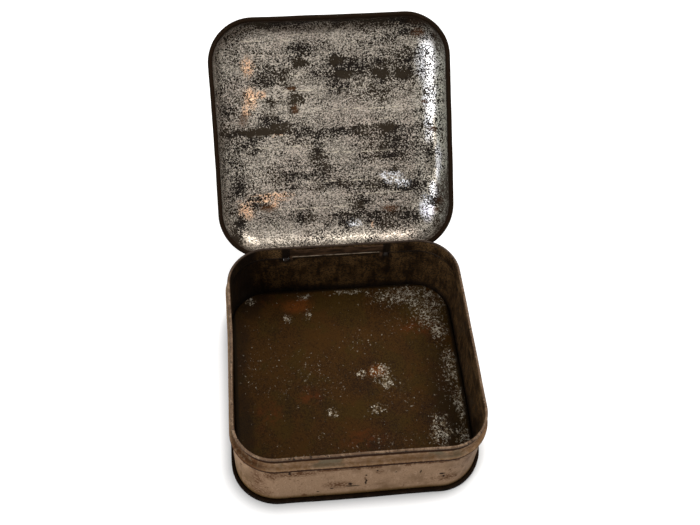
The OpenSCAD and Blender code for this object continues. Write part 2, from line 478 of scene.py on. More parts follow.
# bare tinplate inside the lid: grey, streaked, and peppered with dark corrosion
# places are in millimetres on the closed lid, y growing towards the hinge
lidInside = {
    "pale": (0.500, 0.436, 0.360),
    "dull": (0.115, 0.098, 0.078),
    "pink": (0.44, 0.36, 0.30),
    "green": (0.45, 0.415, 0.345),
    "edgeGreen": (0.50, 0.50, 0.43),
    "bright": (0.74, 0.74, 0.76),
    "blotch": (0.024, 0.017, 0.010),
    "speck": (0.008, 0.0055, 0.004),
    "lavender": (0.62, 0.60, 0.70),
    "copper": (0.74, 0.44, 0.26),
    "copperHeart": (0.98, 0.76, 0.52),
    "cream": (0.66, 0.58, 0.45),
    "brown": (0.075, 0.030, 0.011),
    "skirtDark": (0.020, 0.010, 0.0045),
    "glint": (0.92, 0.92, 0.95),
    "spark": (0.80, 0.73, 0.64),
    "clumpSize": 0.74,       # widths of the specks, in millimetres
    "speckSize": 0.50,
    "sparkSize": 0.46,
    # each patch is x, y, half width, half depth
    "solidBlotches": [(-36, -2.6, 10, 2), (-25, -4, 5, 2.6), (-16, -17.5, 4, 3),
                      (-17.5, -12.5, 2.3, 2.4), (-18.3, -23, 2.4, 1.3), (8, -28.6, 4.5, 2),
                      (26, -28.5, 4.5, 2.4), (37, -28, 4, 2.6), (27, -2.6, 5.5, 2.4),
                      (4, -35.5, 4, 2.2), (-14.5, -35, 3.6, 2.6), (30.5, 19, 2.2, 1.8)],
    "streaks": [(-32, -46, 15, 0.35), (-22, 5, 18, 0.35), (-30, -0.6, 8, 0.4),
                (5, 23, 30, 0.3), (12, 9, 24, 0.3), (-8, -22, 20, 0.3), (24, 30, 16, 0.3),
                (-10, 36, 26, 0.3), (18, -12, 26, 0.3)],
    "darkStreaks": [(0, -2.6, 48, 1), (-20, -24.5, 24, 0.7), (14, 12, 30, 0.6),
                    (-14, 15, 20, 0.5), (20, -20, 22, 0.6), (-28, 26, 16, 0.6),
                    (6, 40, 34, 0.7), (-34, -40, 12, 0.6), (26, 34, 18, 0.5)],
    "looseBlotches": [(-49, 48, 4, 4), (-13, -41, 6, 5), (-33, -27.5, 7, 3), (-24, -30, 7, 3),
                      (-28, -33, 6, 2), (0, -1, 45, 2.4), (16, -31, 26, 5), (30, 8, 14, 5),
                      (8, 25, 26, 3), (-20, 20, 10, 3), (-40, 4, 6, 4), (20, -17, 14, 2.4),
                      (-29, -16, 2.5, 3), (-28, -8, 7, 4), (7, -32, 8, 6), (3, -24, 5, 4),
                      (29, -30, 12, 7), (36, -36, 9, 5), (24, -22, 6, 3), (27, 2, 8, 4),
                      (-12, 3.5, 6, 2.4), (-7, 9, 5, 5), (-6, 18, 5, 6), (-46, 23, 3, 5),
                      (-47, 40, 3, 4), (22, 26, 9, 4), (38, 27, 8, 5),
                      (12, 36, 5, 5), (6, 43, 5, 4), (30, 43, 14, 5), (29, -44, 4, 2.5),
                      (-36, 33, 6, 3.5), (-15, 41, 5, 3), (49.4, 9.5, 2.6, 5), (49, 36, 3, 3),
                      (-30, -54, 30, 2.2), (25, -54, 30, 2.6)],
    "cleanPatches": [(-25, 7, 12, 5), (12, -12, 14, 5), (-10, -11, 9, 4), (36, -13, 6, 4),
                     (-20, -47, 16, 4), (10, -49, 18, 3), (-8, 30, 10, 6), (-5, -22, 8, 4),
                     (-30, 46, 14, 4), (-50, -36, 5, 12), (3, 6, 6, 8)],
    "copperPatches": [(-39, -34, 2.6, 4.2), (-38.5, -19, 3.2, 4.6), (-34, -20.5, 3, 1.8),
                      (-41, -13, 1.6, 3), (-27, -1.1, 3, 1), (-43.5, 35.5, 3.6, 3.8),
                      (-31, 28.8, 9, 1.1), (-30, 33, 2, 2),
                      (-35, 31, 10, 1), (18.5, 46, 0.9, 1.6)],
    # where the painted highlight lies on the right shoulder
    "paintedHighlights": [(48.4, -34, 4.6, 11), (49, -17, 2.8, 11), (48.3, -2, 2, 7),
                      (52.3, 16, 1.2, 9), (50.2, 31, 2, 5), (46.8, 39.5, 3, 5)],
    "dimmedShoulder": [(48.6, 15, 2.6, 9)],
    "shoulderShadows": [(55, 34, 4.6, 12), (54, 48, 5, 6), (54, -44, 3, 7), (46, -53, 8, 2.6)],
    "glintPatches": [(30, 22.5, 4, 2.6), (35, 25.5, 3, 2), (26, 21.5, 2.5, 1.4),
                     (10, 44.6, 3, 1.6), (46, 38, 3, 5)],
    "brownPatches": [(47, -14, 1.9, 1.2), (49.9, -0.3, 2, 1.1), (-42.5, -9, 1.8, 3.4),
                     (-17, -13, 1.6, 2), (-18.5, -23, 2.2, 1.1), (52.7, 34.9, 1.6, 1.8),
                     (51.2, 39.5, 1.8, 1), (28, 38, 4, 1.6), (-33, 35, 4, 2), (44, -47, 3, 2)],
}


def bareTinplate():
    look = lidInside
    material = newMaterial("bareTinplate")
    at = place()
    streaks = stretched(at, (0.10, 1, 1))
    streak = noiseAt(streaks, 1.3, 5, 0.65, 1)
    cloud = noiseAt(at, 13, 4, 0.6, 2)
    grain = noiseAt(stretched(at, (0.7, 1, 1)), 0.62, 1.5, 0.6, 3)
    tone = summed((streak, 0.30), (cloud, 0.12), (grain, 0.60))
    colour = mixed(between(tone, 0.42, 0.62), look["dull"], look["pale"])
    blush = between(noiseAt(at, 26, 3, 0.5, 4), 0.46, 0.58, 0, 0.7)
    pink = mixed(between(tone, 0.42, 0.62), look["dull"], look["pink"])
    colour = mixed(blush, colour, pink)
    across = axisOf(at, "X")
    green = mixed(between(tone, 0.40, 0.56), look["dull"], look["green"])
    colour = mixed(ramp(across, 38, 47, 0, 0.75), colour, green)
    rightEdge = ramp(across, 51.4, 52.6, 0, 0.92)
    colour = mixed(rightEdge, colour, look["edgeGreen"])
    # painted highlight: bright, and lavender towards the hinge, where the lamp's reflection runs
    # down the right shoulder
    paintedShine = raggedPatches(at, 5, 3, 17, look["paintedHighlights"], 0.5)
    paintedShine = times(paintedShine, between(tone, 0.35, 0.50))
    gleam = mixed(ramp(axisOf(at, "Y"), 33, 38), look["bright"], look["lavender"])
    colour = mixed(paintedShine, colour, gleam)
    # rougher here, and the colour darkened as painted shade that takes out the lamp's reflection
    mattAndDimmed = raggedPatches(at, 5, 3, 23, look["dimmedShoulder"], 0.5)
    colour = mixed(times(mattAndDimmed, 0.45), colour, look["dull"])

    # how thickly the corrosion stands
    solid = raggedPatches(at, 3, 3.4, 5, look["solidBlotches"])
    loose = raggedPatches(at, 6, 4, 6, look["looseBlotches"], 0.7)
    clean = raggedPatches(at, 7, 5, 7, look["cleanPatches"], 0.7)
    crowd = noiseAt(stretched(at, (0.55, 1, 1)), 5, 4, 0.62, 8)
    lines = raggedPatches(at, 9, 1.2, 19, look["darkStreaks"], 0.8)
    crowd = summed((minus(crowd, 0.5), 0.36), (loose, 0.10), (clean, -0.048), (solid, 0.13),
                   (lines, 0.055))
    # more of it at the two sides and at the front edge
    crowd = plus(crowd, ramp(across, 41, 47, 0, 0.03))
    crowd = plus(crowd, ramp(across, -41, -50, 0, 0.045))
    ahead = summed((axisOf(at, "Y"), -1), (across, 0.12))
    crowd = plus(crowd, ramp(ahead, 48, 52, 0, 0.06))
    crowd = plus(crowd, times(minus(streak, 0.5), 0.14))
    clump = noiseAt(at, look["clumpSize"], 2, 0.6, 9)
    clump = between(plus(clump, crowd), 0.556, 0.582)
    dots = noiseAt(stretched(at, (0.7, 1, 1)), look["speckSize"], 1, 0.5, 10)
    dots = between(plus(dots, times(crowd, 0.7)), 0.572, 0.602, 0, 0.95)
    speck = most(clump, dots)

    copper = raggedPatches(at, 2.2, 2.2, 11, look["copperPatches"], 0.6)
    flare = noiseAt(at, 1.6, 4, 0.68, 12)
    colour = mixed(times(copper, between(flare, 0.38, 0.52)), colour, look["copper"])
    colour = mixed(times(copper, between(flare, 0.54, 0.64)), colour, look["copperHeart"])
    glint = raggedPatches(at, 3, 2.5, 15, look["glintPatches"], 0.6)
    glint = times(glint, between(noiseAt(at, 0.8, 2, 0.6, 16), 0.50, 0.57))
    spark = noiseAt(at, look["sparkSize"], 1, 0.5, 24)
    colour = mixed(between(spark, 0.56, 0.66, 0, 0.6), colour, look["spark"])
    scratch = noiseAt(stretched(at, (0.04, 1, 1)), 0.8, 2, 0.5, 13)
    scratch = between(scratch, 0.68, 0.74, 0, 0.7)
    drawn = raggedPatches(at, 12, 0.7, 20, look["streaks"], 0.6)
    drawn = times(drawn, between(noiseAt(at, 3, 3, 0.6, 21), 0.44, 0.56, 0, 0.7))
    scratch = most(scratch, drawn)
    colour = mixed(scratch, colour, look["cream"])
    speck = times(speck, minus(1, times(drawn, 0.7)))
    browner = most(solid, between(cloud, 0.45, 0.6, 0, 0.7))
    colour = mixed(speck, colour, mixed(browner, look["speck"], look["blotch"]))
    bald = times(solid, between(tone, 0.56, 0.48, 0, 0.7))
    colour = mixed(bald, colour, look["blotch"])
    colour = mixed(glint, colour, look["glint"])
    speck = times(speck, minus(1, glint))
    brown = raggedPatches(at, 2, 1.8, 14, look["brownPatches"], 0.5)
    brown = times(brown, between(grain, 0.40, 0.52, 0.25, 1))
    colour = mixed(times(brown, 0.75), colour, look["brown"])
    # a dark band round the inside of the skirt
    down = plus(axisOf(at, "Z"), times(minus(clump, cloud), 2.5 * mm))
    clear = times(ramp(across, 46, 52), ramp(axisOf(at, "Y"), 26, 8, 0, 5 * mm))
    clear = plus(clear, ramp(across, -50, -53, 0, 9 * mm))
    skirtDarkAndShadow = ramp(plus(down, clear), 41.5, 39.5, 0, 0.95)
    # painted shadow patches along the right shoulder, laid over the skirt's dark band
    shade = raggedPatches(at, 3, 2, 18, look["shoulderShadows"], 0.35)
    skirtDarkAndShadow = most(skirtDarkAndShadow, times(shade, 0.85))
    skirtDarkAndShadow = times(skirtDarkAndShadow, between(noiseAt(at, 1.3, 3, 0.65, 22), 0.40, 0.52, 0.35, 1))
    colour = mixed(skirtDarkAndShadow, colour, look["skirtDark"])
    # rot also takes in the painted shadow on the shoulder
    rot = most(most(speck, skirtDarkAndShadow), most(bald, brown))
    # the upright skirt is duller than the panel
    dull = ramp(axisOf(at, "Z"), 47.5, 43, 0, 0.6)
    dull = most(dull, times(rightEdge, 0.5))
    metal = between(rot, 0, 1, minus(0.85, dull), 0)
    rough = plus(most(times(rot, 0.25), times(mattAndDimmed, 0.35)), between(streak, 0.3, 0.7, 0.30, 0.40))
    # the bump stays simple: a longer chain of nodes here turns the whole material black
    buckle = noiseAt(at, 9, 2, 0.5, 25)
    height = plus(times(grain, 0.04), buckle)
    return finished(material, colour, metal, 0.06, rough, height, 0.4, 1.2)


# the floor of the box: rust and grime over tinplate, with pale flecks where it has flaked
boxFloor = {
    "dark": (0.0125, 0.0052, 0.0015),
    "brown": (0.041, 0.0180, 0.0038),
    "olive": (0.037, 0.0195, 0.0038),
    "red": (0.082, 0.021, 0.0045),
    "ember": (0.120, 0.034, 0.006),
    "fleck": (0.50, 0.45, 0.36),
    "fleckTan": (0.150, 0.110, 0.066),
    "darkByWalls": (0.010, 0.0055, 0.003),
    "rim": (0.006, 0.004, 0.002),
    "fleckSize": 1.05,
    "redPatches": [(-22, 43.5, 6, 3.5), (-33, 47, 6, 3), (-20, -6, 5, 4), (3, -30, 9, 5),
                   (-38, -14, 5, 6), (36, 27, 9, 4)],
    "emberPatches": [(-22, 44, 6, 3), (-19, 46.5, 3, 1.6), (13.5, 4.5, 3.4, 2.6)],
    "darkPatches": [(-38, 49, 5, 3), (-50, 20, 4, 26), (44, -20, 7, 26), (-44, 44, 6, 6),
                    (0, -50, 40, 4), (-50, -20, 4, 26)],
    "fleckPatches": [(34, 47, 16, 4.5), (43, 38, 7, 9), (46, 26, 4, 7), (49, 5, 3.2, 10),
                     (50.5, -15, 2.4, 10), (49, -32, 3, 4), (39, -28, 4.5, 7), (15, 4, 5, 5),
                     (6, 4, 2.5, 2.5), (17, -2, 2.6, 2.8), (12, -15, 3.6, 2.2),
                     (-9, -16, 2.6, 2.4), (-26.5, 37, 2.2, 2.2), (-16.5, 38.5, 1.8, 2.4),
                     (-18, 49, 3.5, 2), (-45, 49, 2.5, 2.5), (5, 50.5, 10, 1.5)],
    "thinPatches": [(-46, 8, 6, 12), (-38, 16, 8, 7), (-16, -26, 7, 4), (8, 22, 10, 7),
                    (36, 42, 18, 12), (0, -40, 40, 8), (-20, 5, 20, 14),
                    (24, -8, 10, 10), (30, 30, 12, 8), (20, -32, 18, 5), (44, -10, 6, 30),
                    (7, -18, 3, 2)],
}


def grimyFloor():
    look = boxFloor
    material = newMaterial("grimyFloor")
    at = place()
    cloud = noiseAt(at, 16, 6, 0.62, 1)
    grain = noiseAt(at, 0.6, 2, 0.6, 2)
    tone = summed((cloud, 0.45), (grain, 0.55))
    olive = between(noiseAt(at, 12, 4, 0.6, 12), 0.46, 0.58)
    colour = mixed(olive, look["brown"], look["olive"])
    colour = mixed(between(tone, 0.34, 0.58), look["dark"], colour)
    red = raggedPatches(at, 6, 3.5, 3, look["redPatches"], 0.8)
    red = times(red, between(noiseAt(at, 3, 5, 0.65, 4), 0.40, 0.66, 0, 0.60))
    colour = mixed(red, colour, look["red"])
    ember = raggedPatches(at, 3, 2.4, 11, look["emberPatches"], 0.8)
    colour = mixed(times(ember, between(grain, 0.34, 0.56, 0.2, 0.8)), colour, look["ember"])
    # darker along the walls and in the back left corner
    dim = raggedPatches(at, 6, 5, 5, look["darkPatches"], 0.6)
    colour = mixed(times(dim, 0.6), colour, look["darkByWalls"])
    thick = raggedPatches(at, 4, 3.5, 6, look["fleckPatches"], 0.85)
    thin = raggedPatches(at, 8, 6, 7, look["thinPatches"], 0.8)
    crowd = summed((thick, 0.165), (thin, 0.05))
    crumbs = noiseAt(at, look["fleckSize"], 3, 0.6, 9)
    curls = noiseAt(at, look["fleckSize"] * 1.5, 2, 0.5, 8, 0.9)
    curls = between(unsigned(minus(curls, 0.5)), 0.048, 0.020)
    curlCrowd = plus(times(crumbs, 0.5), crowd)
    curls = times(curls, between(curlCrowd, 0.32, 0.42, 0, 0.85))
    fleck = plus(crumbs, times(thick, 0.12))
    fleck = between(fleck, 0.678, 0.725, 0, 0.85)
    fleck = times(fleck, between(thick, 0, 0.4, 0.45, 1))
    fleck = most(fleck, curls)
    fleckShade = between(noiseAt(at, 1.8, 3, 0.6, 10), 0.42, 0.60)
    colour = mixed(fleck, colour, mixed(fleckShade, look["fleckTan"], look["fleck"]))
    reach = most(unsigned(axisOf(at, "X")), unsigned(axisOf(at, "Y")))
    edge = ramp(reach, 51.2, 52.6, 0, 0.85)
    colour = mixed(edge, colour, look["rim"])
    return finished(material, colour, between(fleck, 0, 1, 0, 0.5), 0.03,
                    between(cloud, 0.3, 0.7, 0.55, 0.72), plus(grain, fleck), 0.4, 0.08)


# the inside of the wall: tarnished, with drips running down, and painted light and shade
wallInside = {
    "olive": (0.080, 0.042, 0.015),
    "dark": (0.011, 0.0050, 0.0018),
    "tan": (0.155, 0.092, 0.040),
    "black": (0.006, 0.004, 0.003),
    "groove": 31.6,          # height of the bead's hollow, in millimetres
    "cornerShadows": [(-47, 50, 7, 5), (-51, 42, 3, 6)],
}


def stainedShadedWall():
    look = wallInside
    material = newMaterial("stainedShadedWall")
    at = place()
    drip = noiseAt(stretched(at, (1, 1, 0.14)), 1.3, 4, 0.62, 1)
    cloud = noiseAt(at, 9, 5, 0.62, 2)
    tone = summed((drip, 0.45), (cloud, 0.55))
    colour = mixed(between(tone, 0.38, 0.62), look["dark"], look["olive"])
    height = axisOf(at, "Z")
    # painted light: the wall turns lighter and tan towards the top
    upper = ramp(height, 18, 38, 0, 0.55)
    colour = mixed(times(upper, between(cloud, 0.42, 0.66)), colour, look["tan"])
    spot = noiseAt(at, 0.8, 2, 0.6, 3)
    colour = mixed(between(spot, 0.48, 0.58, 0, 0.85), colour, look["black"])
    # painted shade low on the wall, next to the floor
    colour = mixed(ramp(height, 9, 5, 0, 0.85), colour, look["black"])
    # painted shadow in the bead's groove
    groove = ramp(unsigned(minus(height, look["groove"] * mm)), 1.4, 0.6, 0, 0.7)
    colour = mixed(groove, colour, look["black"])
    # painted shadow down the back left corner
    corner = times(raggedPatches(at, 6, 4, 4, look["cornerShadows"], 0.5), 0.85)
    colour = mixed(corner, colour, look["black"])
    # painted shade round the slots
    aside = unsigned(minus(axisOf(at, "X"), hinge["middle"] * mm))
    beside = unsigned(minus(aside, hinge["width"] / 2 * mm))
    slotShade = ramp(beside, 2.6, 1.4)
    slotShade = times(slotShade, ramp(axisOf(at, "Y"), 48, 50))
    slotShade = times(slotShade, ramp(height, 26, 29, 0, 0.92))
    colour = mixed(slotShade, colour, look["black"])
    rough = between(drip, 0.3, 0.7, 0.42, 0.62)
    return finished(material, colour, 0.15, 0.1, rough, tone, 0.3, 0.1)


# the lacquer outside: pinkish brown, rubbed, chipped and stained with rust
# marks on the front wall are x, z, half width, half height in millimetres
lacquer = {
    "plain": (0.268, 0.171, 0.105),
    "pale": (0.340, 0.228, 0.148),
    "dull": (0.160, 0.095, 0.052),
    "band": (0.165, 0.093, 0.045),
    "rust": (0.070, 0.028, 0.010),
    "chip": (0.014, 0.007, 0.004),
    "stain": (0.095, 0.052, 0.016),
    "green": (0.115, 0.100, 0.066),
    "line": (0.020, 0.0064, 0.0020),
    "tin": (0.34, 0.30, 0.25),
    "crown": 17.0,           # the lid's crown, in millimetres out from the corners' middles
    "lines": [(37.5, 1), (30.85, 1.6)],    # height and half width of the painted shadow lines
    "chipSize": 1.6,
    "neckStains": [(-50, -47, 10, 10), (53, -30, 5, 12)],
    "lowStains": [(53, -44, 6, 9), (-52, -46, 6, 8), (-56, 20, 4, 12)],
    "frontStains": [(-28, 26.8, 10, 2.2), (-10, 13, 5.5, 3), (-39, 26, 3, 3.4), (5, 28.8, 4, 1.4),
                    (-12, 28.6, 8, 1), (30, 28.8, 9, 0.8),
                    (43, 30, 3, 2), (48, 24, 4, 5), (7, 24, 1.5, 2), (-46, 20, 4, 9),
                    (-49, 34, 6, 3), (50, 8, 5, 6), (-47, 8, 6, 4), (22, 34, 9, 1.2),
                    (-20, 35, 8, 1.2), (38, 12, 4, 3)],
    "frontChips": [(-5, 13, 0.8, 1.4), (-4, 10.6, 3, 0.5), (1.5, 14.5, 0.4, 3),
                   (34.6, 16.2, 1.2, 0.8), (35.6, 13.6, 0.5, 1), (24.8, 20.4, 0.4, 1.3),
                   (-19, 7.2, 0.6, 0.5), (1.4, 21, 0.4, 0.8), (6, 25, 0.5, 0.6),
                   (-13, 9.5, 0.8, 0.6), (14, 22, 0.4, 0.4), (-31, 28, 0.6, 1.6)],
}


def oldLacquer(name, onLid):
    look = lacquer
    material = newMaterial(name)
    at = place()
    cloud = noiseAt(at, 14, 6, 0.6, 1)
    colour = mixed(between(cloud, 0.30, 0.50), look["dull"], look["plain"])
    rub = noiseAt(stretched(at, (1, 1, 0.3)), 1.2, 4, 0.6, 2)
    colour = mixed(between(rub, 0.50, 0.70, 0, 0.7), colour, look["pale"])
    grain = noiseAt(at, 0.65, 2, 0.6, 12)
    colour = mixed(between(grain, 0.52, 0.38, 0, 0.35), colour, look["dull"])
    height = axisOf(at, "Z")
    low = ramp(plus(height, times(cloud, 4 * mm)), 8.5, 4.6, 0, 0.9)
    colour = mixed(low, colour, look["stain"])
    stripe = unsigned(minus(height, 29.2 * mm))
    under = ramp(stripe, 3, 0.5, 0, 0.085)
    smear = noiseAt(stretched(at, (1, 1, 0.6)), 3.5, 6, 0.68, 3)
    smear = between(plus(smear, under), 0.575, 0.67, 0, 0.85)
    colour = mixed(smear, colour, look["rust"])

    # the marks on the front lie by x and height
    split = newNode("SeparateXYZ")
    feed(split, (0, wobbled(at, 1.8, 1, 4)))
    join = newNode("CombineXYZ")
    feed(join, (0, split.outputs["X"]), (1, split.outputs["Z"]))
    facing = ramp(split.outputs["Y"], -49, -52)
    blur = between(noiseAt(at, 1, 3, 0.65, 5), 0.38, 0.54, 0, 0.95)
    mark = times(patches(join.outputs[0], look["frontStains"], 0.7), blur)
    colour = mixed(times(mark, facing), colour, look["rust"])
    chips = times(patches(join.outputs[0], look["frontChips"], 0.4), facing)
    chip = between(noiseAt(at, look["chipSize"], 3, 0.6, 6), 0.70, 0.73, 0, 0.9)
    chip = most(chip, chips)
    colour = mixed(chip, colour, look["chip"])

    freckle = between(noiseAt(at, 0.8, 2, 0.6, 7), 0.62, 0.69, 0, 0.75)
    colour = mixed(freckle, colour, look["rust"])
    if onLid:
        # the crown of the shoulder is rubbed through to the tin, and the top is scratched
        crown = unsigned(minus(outFromCorners(at), look["crown"] * mm))
        crown = ramp(crown, 7, 0.5, 0, 0.09)
        rubbed = noiseAt(at, 4, 7, 0.72, 8)
        spots = plus(noiseAt(at, 2.6, 5, 0.68, 11), times(crown, 0.5))
        colour = mixed(between(spots, 0.60, 0.66, 0, 0.85), colour, look["rust"])
        bare = between(plus(rubbed, crown), 0.64, 0.69, 0, 0.85)
        scratches = noiseAt(stretched(at, (0.05, 1, 1)), 1.1, 2, 0.5, 9)
        bare = most(bare, between(scratches, 0.70, 0.74, 0, 0.6))
        colour = mixed(bare, colour, look["tin"])
        hem = ramp(height, 38, 35.5, 0, 0.55)
        hem = times(hem, between(rub, 0.36, 0.58, 0.3, 1))
        colour = mixed(hem, colour, look["rust"])
    else:
        # grey-green where the neck has corroded, and painted shadow lines under the hem and the
        # bead
        neck = ramp(height, 32.6, 33.6)
        above = ramp(height, 30.6, 31.2)
        colour = mixed(times(neck, 0.35), colour, look["pale"])
        tint = times(above, between(noiseAt(at, 1.8, 5, 0.68, 13), 0.38, 0.62, 0.15, 0.95))
        colour = mixed(tint, colour, look["band"])
        aside = ramp(axisOf(at, "X"), -38, -45, 0, 0.14)
        corroded = times(neck, between(plus(cloud, aside), 0.48, 0.58, 0, 0.75))
        colour = mixed(corroded, colour, look["green"])
        corner = raggedPatches(at, 4, 3, 10, look["neckStains"], 0.5)
        corner = times(times(corner, above), between(rub, 0.38, 0.54, 0.3, 0.9))
        colour = mixed(corner, colour, look["rust"])
        foot = raggedPatches(at, 4, 3, 11, look["lowStains"], 0.6)
        foot = times(foot, ramp(height, 28, 12))
        foot = times(foot, between(rub, 0.42, 0.60, 0.1, 0.8))
        colour = mixed(foot, colour, look["stain"])
        for level, half in look["lines"]:
            line = unsigned(minus(height, level * mm))
            line = plus(line, times(rub, 1.0 * mm))
            colour = mixed(ramp(line, half + 0.70, half + 0.40, 0, 0.96), colour, look["line"])
    metal = between(bare, 0, 1, 0, 0.7) if onLid else 0.0
    rough = between(cloud, 0.3, 0.7, 0.42, 0.58)
    return finished(material, colour, metal, 0.02, rough, minus(rub, chip), 0.25, 0.06)


# worn bare edges: the rim's hem, the lid's curl and the foot
edges = {
    "bright": (0.185, 0.122, 0.076),
    "tan": (0.095, 0.056, 0.032),
    "dark": (0.012, 0.006, 0.003),
    "ring": (0.011, 0.0065, 0.0035),
    "foot": (0.003, 0.0015, 0.0008),
    "footTop": (0.009, 0.0045, 0.002),
}


def wornShadedRim():
    look = edges
    material = newMaterial("wornShadedRim")
    at = place()
    wear = noiseAt(at, 2.2, 5, 0.68, 1)
    colour = mixed(between(wear, 0.48, 0.60), look["tan"], look["bright"])
    height = axisOf(at, "Z")
    back = ramp(axisOf(at, "Y"), 30, 52, 0, 0.9)
    colour = mixed(back, colour, look["dark"])
    # pits, and painted shade on the lower half of the hem
    pitsAndShade = noiseAt(at, 1.4, 4, 0.65, 2)
    pitsAndShade = between(plus(pitsAndShade, ramp(height, 40.3, 39.9, 0, 0.25)), 0.54, 0.62)
    colour = mixed(pitsAndShade, colour, look["dark"])
    rough = between(wear, 0.3, 0.7, 0.6, 0.45)
    return finished(material, colour, 0.2, 0.15, rough, wear, 0.3, 0.08)


def rustyEdge(name, base, rubbed):
    material = newMaterial(name)
    at = place()
    wear = noiseAt(at, 2.4, 5, 0.65, 1)
    colour = mixed(between(wear, 0.35, 0.6), edges["dark"], base)
    colour = mixed(between(wear, 0.60, 0.72, 0, rubbed), colour, edges["tan"])
    if name == "rustyFoot":
        # the top of the foot is stained like the wall above it
        top = ramp(axisOf(at, "Z"), 2.75, 3, 0, 0.8)
        colour = mixed(top, colour, edges["footTop"])
    rough = between(wear, 0.3, 0.7, 0.5, 0.7)
    return finished(material, colour, 0, 0.02, rough, wear, 0.5, 0.1)


# the underside of the bottom: tin gone dull, with blooms of rust
underTin = {
    "tin": (0.150, 0.125, 0.095),
    "dull": (0.060, 0.043, 0.028),
    "rust": (0.085, 0.034, 0.012),
    "pit": (0.014, 0.008, 0.005),
}


def dullUnderside():
    look = underTin
    material = newMaterial("dullUnderside")
    at = place()
    cloud = noiseAt(at, 15, 6, 0.62, 1)
    grain = noiseAt(stretched(at, (0.3, 1, 1)), 1.4, 4, 0.6, 2)
    tone = summed((cloud, 0.6), (grain, 0.4))
    colour = mixed(between(tone, 0.42, 0.58), look["dull"], look["tin"])
    bloom = between(noiseAt(at, 7, 7, 0.7, 3), 0.50, 0.60, 0, 0.9)
    colour = mixed(bloom, colour, look["rust"])
    pit = between(noiseAt(at, 1.3, 3, 0.62, 4), 0.60, 0.66, 0, 0.85)
    colour = mixed(pit, colour, look["pit"])
    rot = most(bloom, pit)
    return finished(material, colour, between(rot, 0, 1, 0.6, 0), 0.1,
                    between(rot, 0, 1, 0.45, 0.70), minus(tone, rot), 0.35, 0.06)


# the strip across the back wall and the wire behind it
hingeMetal = {
    "strip": (0.060, 0.033, 0.018),
    "stripDark": (0.016, 0.009, 0.005),
    "stripEdgeHighlight": (0.60, 0.50, 0.38),
    "arms": (0.005, 0.0035, 0.0025),
    "wire": (0.075, 0.060, 0.046),
}


def strapTin():
    look = hingeMetal
    material = newMaterial("strapTin")
    at = madePlace()
    wear = noiseAt(stretched(at, (0.3, 1, 1)), 1.4, 4, 0.6, 1)
    colour = mixed(between(wear, 0.38, 0.62), look["stripDark"], look["strip"])
    height = axisOf(at, "Z")
    # its lower edge is raw, with a painted highlight along it
    low = ramp(height, 34.9, 34.5)
    low = times(low, ramp(height, 33.9, 34.1))
    low = times(low, between(wear, 0.40, 0.56))
    reach = unsigned(minus(axisOf(at, "X"), hinge["middle"] * mm))
    low = times(low, ramp(reach, 21.5, 20))
    colour = mixed(low, colour, look["stripEdgeHighlight"])
    # painted shade: the arms in the slots are nearly black
    arms = ramp(reach, 21.8, 22.4, 0, 0.9)
    colour = mixed(arms, colour, look["arms"])
    return finished(material, colour, between(low, 0, 1, 0, 0.7), 0.08,
                    between(wear, 0.3, 0.7, 0.45, 0.65), wear, 0.3, 0.05)


def drawnWire():
    look = hingeMetal
    material = newMaterial("drawnWire")
    at = madePlace()
    wear = noiseAt(at, 1.5, 4, 0.6, 1)
    colour = mixed(between(wear, 0.42, 0.60), edges["ring"], look["wire"])
    return finished(material, colour, between(wear, 0.42, 0.60, 0.1, 0.35), 0.15,
                    between(wear, 0.3, 0.7, 0.65, 0.50), wear, 0.3, 0.05)


print("materials")
tinplate = bareTinplate()
floorGrime = grimyFloor()
wallStainShade = stainedShadedWall()
outside = oldLacquer("wallLacquer", False)
lidOutside = oldLacquer("lidLacquer", True)
rimMetal = wornShadedRim()
lidRing = rustyEdge("rustyRing", edges["ring"], 0.22)
footRust = rustyEdge("rustyFoot", edges["foot"], 0.08)
underMetal = dullUnderside()
strapMetal = strapTin()
wireMetal = drawnWire()

stations = stationsAround()


